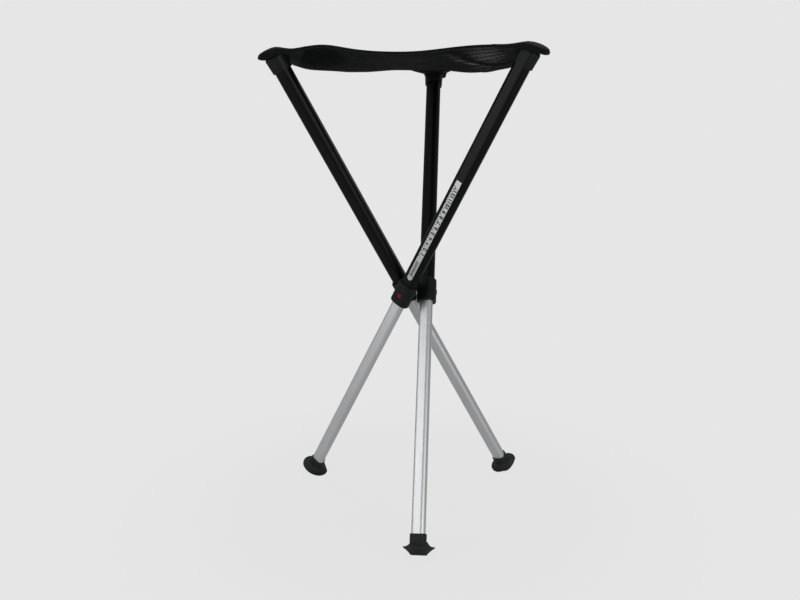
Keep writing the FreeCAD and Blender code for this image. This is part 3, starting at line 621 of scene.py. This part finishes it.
for leg in LEGS:
    for gore in range(GORES):
        first, last = (
            math.radians(2 * HALF_CORNER * edge / GORES - HALF_CORNER) for edge in (gore, gore + 1)
        )
        rows = []
        for row in range(GORE_ROWS + 1):
            points = []
            for column in range(GORE_COLUMNS + 1):
                angle = first + (last - first) * column / GORE_COLUMNS
                apex, ahead, length = fan_ray(leg, angle, HEM_OVERLAP)
                place = apex + ahead * (GORE_START + (length - GORE_START) * row / GORE_ROWS)
                points.append((*place, seat_height(place)))
            rows.append(points)
        sheet = bpy.data.objects.new("sheet", grid_mesh("gore", rows))
        bpy.context.scene.collection.objects.link(sheet)
        wall = sheet.modifiers.new("wall", "SOLIDIFY")
        wall.thickness, wall.offset = PANEL_THICKNESS, 0
        name = f"seat_gore_{leg}_{gore}"
        shape = mesh_of(sheet)
        shape.set_sharp_from_angle(angle=SHARP_FOLD)
        cloth = add_piece(name, shape, f"upper_leg_{leg}", "seat_mesh", seat_mesh)
        apex, ahead, length = fan_ray(leg, (first + last) / 2, HEM_OVERLAP)
        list(ahead)
        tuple(leg_top[leg])
        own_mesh(cloth)
        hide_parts("seat_panel")
        wide = 2 * length * math.tan((last - first) / 2)


# The seat's bound edges. Each side of the mesh is folded into a woven polyester tape and sewn
# through with two rows of stitches. Each tape is halved at its middle, like the panel.
HEM_THICKNESS = 0.0036
HEM_STEPS, HEM_ROUND, HEM_SQUARENESS = 40, 12, 0.6
HEM_STITCHED_AT = (2, 4, 8, 10)
STITCH_LENGTH, STITCH_GAP, THREAD_WIDTH = 0.0027, 0.0036, 0.0007

tape_weave, tree, shader = new_finish("woven_tape", Roughness=0.75, Specular_IOR_Level=0.06)
wave = {"Vector": object_place(tree), "Scale": 180.0, "Distortion": 1.0, "Detail": 2.0}
ribs = add_node(tree, "ShaderNodeTexWave", wave)
fuzz = speckle(tree, scale=1100, detail=3)
colour(tree, shader, fuzz, dark=(0.002, 0.0025, 0.0024), light=(0.008, 0.0092, 0.0088))
emboss(tree, shader, ribs.outputs["Fac"], depth=0.00025)

thread, tree, shader = new_finish("bonded_thread", Roughness=0.5, Specular_IOR_Level=0.3)
twist = speckle(tree, scale=2400, detail=2)
colour(tree, shader, twist, dark=(0.006, 0.0068, 0.0066), light=(0.017, 0.0185, 0.018))
emboss(tree, shader, twist, depth=0.0001)


def stitch_row_recipe():
    """Stitches along a line: short rounded threads, each turned to follow it."""
    tree, keys, given = new_recipe(
        "stitch_row",
        Line="NodeSocketGeometry",
        Gap="NodeSocketFloat",
        Length="NodeSocketFloat",
        Width="NodeSocketFloat",
        Material="NodeSocketMaterial",
    )
    line = add_node(tree, "GeometryNodeMeshToCurve", {"Mesh": given["Line"]})
    spacing = {"Curve": line.outputs[0], "Length": given["Gap"]}
    spaced = add_node(tree, "GeometryNodeResampleCurve", spacing, mode="LENGTH")
    ball = add_node(tree, "GeometryNodeMeshUVSphere", {"Segments": 6, "Rings": 4, "Radius": 0.5})
    along = {"Vector": add_node(tree, "GeometryNodeInputTangent").outputs[0]}
    turn = add_node(tree, "FunctionNodeAlignRotationToVector", along, axis="X")
    sides = {"X": given["Length"], "Y": given["Width"], "Z": given["Width"]}
    size = add_node(tree, "ShaderNodeCombineXYZ", sides)
    copying = {
        "Points": spaced.outputs[0],
        "Instance": ball.outputs["Mesh"],
        "Rotation": turn.outputs[0],
        "Scale": size.outputs[0],
    }
    stitches = add_node(tree, "GeometryNodeInstanceOnPoints", copying)
    give_out(tree, stitches.outputs["Instances"], given["Material"])
    return tree, keys


stitch_tree, stitch_keys = stitch_row_recipe()


def stitched(lines):
    """Rows of stitches along lines of points, as one mesh."""
    base = bpy.data.meshes.new("lines")
    points = [point for line in lines for point in line]
    edges, first = [], 0
    for line in lines:
        edges += [(first + step, first + step + 1) for step in range(len(line) - 1)]
        first += len(line)
    base.from_pydata(points, edges, [])
    return made_by(
        stitch_tree, stitch_keys, base,
        Gap=STITCH_GAP, Length=STITCH_LENGTH, Width=THREAD_WIDTH, Material=thread,
    )


def powered(number, power):
    """A number raised to a power, with its sign kept."""
    return math.copysign(abs(number) ** power, number)


for leg in LEGS:
    for side in (-1, 1):
        apex, ahead, length = fan_ray(leg, side * math.radians(HALF_CORNER), HEM_WIDTH / 2)
        across = turned(ahead, math.radians(90))
        rows = []
        for step in range(HEM_STEPS + 1):
            place = apex + ahead * (GORE_START + (length - GORE_START) * step / HEM_STEPS)
            ring = []
            for corner in range(HEM_ROUND):
                angle = math.tau * corner / HEM_ROUND
                wide = powered(math.cos(angle), HEM_SQUARENESS) * HEM_WIDTH / 2
                high = powered(math.sin(angle), HEM_SQUARENESS) * HEM_THICKNESS / 2
                spot = place + across * wide
                ring.append((*spot, seat_height(place) + high))
            rows.append(ring)
        shape = grid_mesh("hem", rows, closed_across=True)
        name = "a" if side < 0 else "b"
        body = f"upper_leg_{leg}"
        tape = add_piece(f"seat_hem_{leg}_{name}", shape, body, "edge_tape", tape_weave)
        seam = stitched([[row[corner] for row in rows] for corner in HEM_STITCHED_AT])
        seam = add_piece(f"hem_stitches_{leg}_{name}", seam, body, "edge_tape", thread)
        for piece in (tape, seam):
            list(ahead)
            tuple(leg_top[leg])
            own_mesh(piece)
            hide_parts("seat_binding")


# The seat's corners. Dense woven polyester in three layers, folded and sewn into a pocket that
# sits on the leg's end cap, with a rounded tongue that hangs outwards. The folded layers show as
# ribs round its edge. Its two inner points are cut off as pieces of their own.
CORNER_INSIDE, CORNER_OUTSIDE = 0.038, 0.0245
CORNER_HALF_WIDTH = 0.0205
CORNER_DROOP, DROOP_CURVE, SIDE_DROOP = 0.0115, 1.5, 4.4
INNER_THICKNESS, INNER_GROWTH, LEG_THICKNESS = 0.0045, 0.0075, 0.012
TIP_THINNING, SHOULDER = 0.0045, 0.004
INNER_LIFT = 0.0015
TONGUE_LONG_CURVE, TONGUE_WIDE_CURVE, TONGUE_SPINE = 0.85, 0.75, 0.014
SIDE_STEPS, TIP_STEPS, EDGE_STEPS = 10, 24, 32
EDGE_WIDE_CURVE, EDGE_HIGH_CURVE = 0.35, 0.75
CORNER_LAYERS, LAYER_DEPTH = 3, 0.0014
POCKET_STITCHED_AT = (6, 26)
POINT_START, POINT_TUCKED = 0.02, 0.3
SHARP_CUT = math.radians(55)

corner_weave, tree, shader = new_finish("dense_weave", Specular_IOR_Level=0.1)
wave = {"Vector": object_place(tree), "Scale": 320.0, "Distortion": 0.6}
weave = add_node(tree, "ShaderNodeTexWave", wave)
threads = speckle(tree, scale=1300, detail=3)
colour(tree, shader, threads, dark=(0.0018, 0.0023, 0.0021), light=(0.0072, 0.0084, 0.0079))
roughen(tree, shader, threads, smooth=0.62, rough=0.82)
emboss(tree, shader, weave.outputs["Fac"], depth=0.0002)


def corner_thickness(out):
    """Thin where the panel joins, full round the end cap's outer shoulder, blunt at the tip."""
    if out < 0:
        return INNER_THICKNESS + INNER_GROWTH * (1 + out / CORNER_INSIDE)
    share = out / CORNER_OUTSIDE
    return LEG_THICKNESS - TIP_THINNING * share + SHOULDER * math.sin(math.pi * min(share, 1))


def corner_top(place, out, aside):
    """Height of the corner's top: level with the seat at its inner end, full over the end cap."""
    full = 1 + min(out, 0) / CORNER_INSIDE
    full = full * full * (3 - 2 * full)
    drooped = (max(out, 0) / CORNER_OUTSIDE) ** DROOP_CURVE
    over_cap = crown - CORNER_DROOP * drooped - SIDE_DROOP * aside**2
    return (seat_height(place) + INNER_LIFT) * (1 - full) + over_cap * full


def corner_outline():
    """A corner's outline, from one inner point round the tongue to the other: how far each of
    its points is out from the leg, and across."""
    sides = [CORNER_INSIDE * (step / SIDE_STEPS - 1) for step in range(SIDE_STEPS)]
    wide = [CORNER_HALF_WIDTH - out * math.tan(math.radians(HALF_CORNER)) for out in sides]
    yield from zip(sides, wide)
    for step in range(TIP_STEPS + 1):
        angle = math.pi * step / TIP_STEPS
        out = CORNER_OUTSIDE * math.sin(angle) ** TONGUE_LONG_CURVE
        yield out, CORNER_HALF_WIDTH * powered(math.cos(angle), TONGUE_WIDE_CURVE)
    yield from ((out, -half) for out, half in zip(reversed(sides), reversed(wide)))


def closed_shape(mesh):
    """The mesh with its seams merged and its open ends filled."""
    shape = bmesh.new()
    shape.from_mesh(mesh)
    bmesh.ops.remove_doubles(shape, verts=shape.verts, dist=1e-6)
    bmesh.ops.holes_fill(shape, edges=shape.edges, sides=0)
    bmesh.ops.recalc_face_normals(shape, faces=shape.faces)
    shape.to_mesh(mesh)
    shape.free()
    return mesh


def cut_mesh(mesh, spot, direction, ahead):
    """A copy of the part of a mesh that is ahead of a plane, or behind it, closed at the cut."""
    shape = bmesh.new()
    shape.from_mesh(mesh)
    found = bmesh.ops.bisect_plane(
        shape,
        geom=[*shape.verts, *shape.edges, *shape.faces],
        dist=1e-7,
        plane_co=spot,
        plane_no=direction,
        clear_inner=ahead,
        clear_outer=not ahead,
    )
    cut = [part for part in found["geom_cut"] if isinstance(part, bmesh.types.BMEdge)]
    bmesh.ops.holes_fill(shape, edges=cut, sides=0)
    part = mesh.copy()
    shape.to_mesh(part)
    shape.free()
    part.set_sharp_from_angle(angle=SHARP_CUT)
    return part


def pocket_parts(leg, mesh):
    """A pocket's mesh in three: each inner point, with the way that it points, and the rest."""
    start = leg_top[leg] - Vector((*outward[leg], 0)) * POINT_START
    across = Vector((*turned(outward[leg], math.radians(90)), 0))
    tip = CORNER_HALF_WIDTH + CORNER_INSIDE * math.tan(math.radians(HALF_CORNER))
    rest = mesh
    for name, side in (("a", 1), ("b", -1)):
        towards = (across * side * tip - Vector((*outward[leg], 0)) * CORNER_INSIDE).normalized()
        both = cut_mesh(mesh, start, towards, True)
        yield name, cut_mesh(both, start, across * side, True), start, towards
        rest = cut_mesh(rest, start, towards, False)
    yield "top", rest, start, None


for leg in LEGS:
    across = turned(outward[leg], math.radians(90))
    rows = []
    for out, aside in corner_outline():
        spine = min(out, CORNER_OUTSIDE - TONGUE_SPINE)
        thick = corner_thickness(out)
        ring = []
        for step in range(EDGE_STEPS + 1):
            angle = math.pi * (step / EDGE_STEPS - 0.5)
            reach = abs(math.cos(angle)) ** EDGE_WIDE_CURVE
            high = powered(math.sin(angle), EDGE_HIGH_CURVE)
            fold = abs(math.sin(math.pi * CORNER_LAYERS * (high + 1) / 2)) * LAYER_DEPTH * reach
            beside = out - spine
            grow = reach + fold / math.hypot(beside, aside)
            place = outward[leg] * (corner_radius + spine + beside * grow) + across * aside * grow
            top = corner_top(place, spine + beside * grow, aside * grow)
            ring.append((*place, top - thick / 2 + thick / 2 * high))
        rows.append(ring)
    lines = [[row[step] for row in rows] for step in POCKET_STITCHED_AT]
    body = f"upper_leg_{leg}"
    for stem, shape, finish in (
        ("seat_pocket", closed_shape(grid_mesh("corner", rows)), corner_weave),
        ("pocket_stitches", stitched(lines), thread),
    ):
        for name, part, start, towards in pocket_parts(leg, shape):
            piece = add_piece(f"{stem}_{leg}_{name}", part, body, "seat_fabric", finish)
            if towards:
                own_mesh(piece)
                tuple(towards)
                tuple(start)
            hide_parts(f"seat_corner_{leg}")


# The floor and the pale room. The camera sees one even light grey, and metal reflects some of it.
# Near the feet the floor also takes a little of the lamps' light, and so the stool's soft shadow.
ROOM_GREY, ROOM_LIGHT, ROOM_IN_METAL = 0.791, 0.17, 0.3
FLOOR_GREY, FLOOR_IN_METAL = 0.5, 0.45
EVEN_AT_FEET, FEET_REACH, EVEN_FROM = 0.95, 0.18, 0.6
FLOOR_SIZE, FLOOR_HEIGHT = 30, -0.0005


def with_mirrored(tree, rays, share, rest):
    """A strength, with a share more of it for what metal reflects."""
    terms = {0: rays.outputs["Is Glossy Ray"], 1: share, 2: rest}
    return add_node(tree, "ShaderNodeMath", terms, operation="MULTIPLY_ADD").outputs[0]


room = bpy.data.worlds.new("room")
bpy.context.scene.world = room
room.use_nodes = True
tree = room.node_tree
sky = tree.nodes["Background"]
sky.inputs["Color"].default_value = (ROOM_GREY, ROOM_GREY, ROOM_GREY, 1)
rays = add_node(tree, "ShaderNodeLightPath")
seen = ramp(tree, rays.outputs["Is Camera Ray"], 0, 1, ROOM_LIGHT, 1.0)
tree.links.new(with_mirrored(tree, rays, ROOM_IN_METAL, seen), sky.inputs["Strength"])

floor_finish = bpy.data.materials.new("pale_floor")
floor_finish.use_nodes = True
tree = floor_finish.node_tree
tree.nodes.clear()
pale = add_node(tree, "ShaderNodeBsdfDiffuse", {"Color": (FLOOR_GREY, FLOOR_GREY, FLOOR_GREY, 1)})
even = add_node(tree, "ShaderNodeEmission", {"Color": (ROOM_GREY, ROOM_GREY, ROOM_GREY, 1)})
rays = add_node(tree, "ShaderNodeLightPath")
away = add_node(tree, "ShaderNodeVectorMath", {0: object_place(tree)}, operation="LENGTH")
evenness = ramp(
    tree, away.outputs["Value"], FEET_REACH, EVEN_FROM, low=EVEN_AT_FEET, curve="SMOOTHSTEP"
)
looks = {0: rays.outputs["Is Camera Ray"], 1: evenness}
looked_at = add_node(tree, "ShaderNodeMath", looks, operation="MULTIPLY").outputs[0]
share = with_mirrored(tree, rays, FLOOR_IN_METAL, looked_at)
mixing = {"Fac": share, 1: pale.outputs[0], 2: even.outputs[0]}
mixed = add_node(tree, "ShaderNodeMixShader", mixing)
out = tree.nodes.new("ShaderNodeOutputMaterial")
tree.links.new(mixed.outputs[0], out.inputs["Surface"])
bpy.ops.mesh.primitive_plane_add(size=FLOOR_SIZE, location=(0, 0, FLOOR_HEIGHT))
floor = bpy.context.active_object
floor.name = "floor"
floor.data.materials.append(floor_finish)
